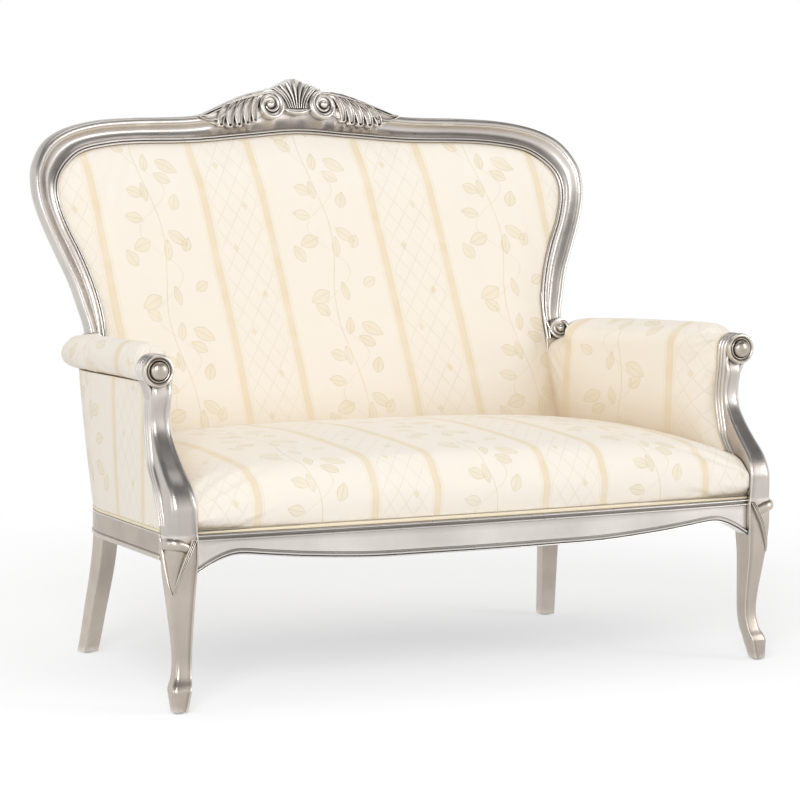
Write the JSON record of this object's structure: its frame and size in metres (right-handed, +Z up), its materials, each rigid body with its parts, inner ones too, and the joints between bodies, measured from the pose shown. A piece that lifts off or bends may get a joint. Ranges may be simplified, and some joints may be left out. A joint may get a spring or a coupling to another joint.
{
  "type": "baroque sofa",
  "caption": "Two-seat sofa: carved silver-leaf frame with shell crest, leaning moulded back, padded arms ending in scrolls, cabriole front legs and a cream damask cover.",
  "frame": {"origin": "the middle of the whole sofa's footprint, on the floor plane under the glides", "axes": "+X towards the right arm as seen from the front, +Y from the front to the back, +Z up"},
  "size_m": [1.248, 0.8548, 1.1012],
  "materials": {
    "silver_leaf": "carved hardwood under aged champagne-silver leaf, satin",
    "bare_wood": "plain sawn hardwood",
    "steel": "plain steel",
    "webbing": "woven jute straps",
    "foam": "open-cell seat foam",
    "damask": "woven cream damask with soft yellow stripes, diamond trellis and leaf vines",
    "piping": "damask-covered cord",
    "lining": "thin dark lining cloth"
  },
  "bodies": {
    "root": {"crest_rail": "silver_leaf", "back_stile_right": "silver_leaf", "back_stile_left": "silver_leaf", "crest_shell": "silver_leaf", "crest_spray_right": "silver_leaf", "crest_spray_left": "silver_leaf", "rear_leg_right": "silver_leaf", "rear_leg_left": "silver_leaf", "front_leg_right": "silver_leaf", "front_leg_left": "silver_leaf", "arm_post_right": "silver_leaf", "arm_post_left": "silver_leaf", "arm_scroll_right": "silver_leaf", "arm_scroll_left": "silver_leaf", "knee_leaf_right": "silver_leaf", "knee_leaf_left": "silver_leaf", "front_rail": "silver_leaf", "rear_rail": "silver_leaf", "side_rail_right": "silver_leaf", "side_rail_left": "silver_leaf", "back_tack_rail": "bare_wood", "arm_rail_right": "bare_wood", "arm_rail_left": "bare_wood", "arm_tack_rail_right": "bare_wood", "arm_tack_rail_left": "bare_wood", "seat_stretcher": "bare_wood", "corner_blocks": "bare_wood", "frame_dowels": "bare_wood", "corner_screws": "steel", "floor_glides": "steel", "seat_webbing": "webbing", "back_webbing": "webbing", "seat_foam": "foam", "seat_cushion": "damask", "back_pad": "damask", "outside_back_panel": "damask", "arm_roll_right": "damask", "arm_roll_left": "damask", "arm_inside_pad_right": "damask", "arm_inside_pad_left": "damask", "arm_outside_panel_right": "damask", "arm_outside_panel_left": "damask", "seat_piping": "piping", "side_piping_right": "piping", "side_piping_left": "piping", "dust_cover": "lining"}
  },
  "joints": []
}
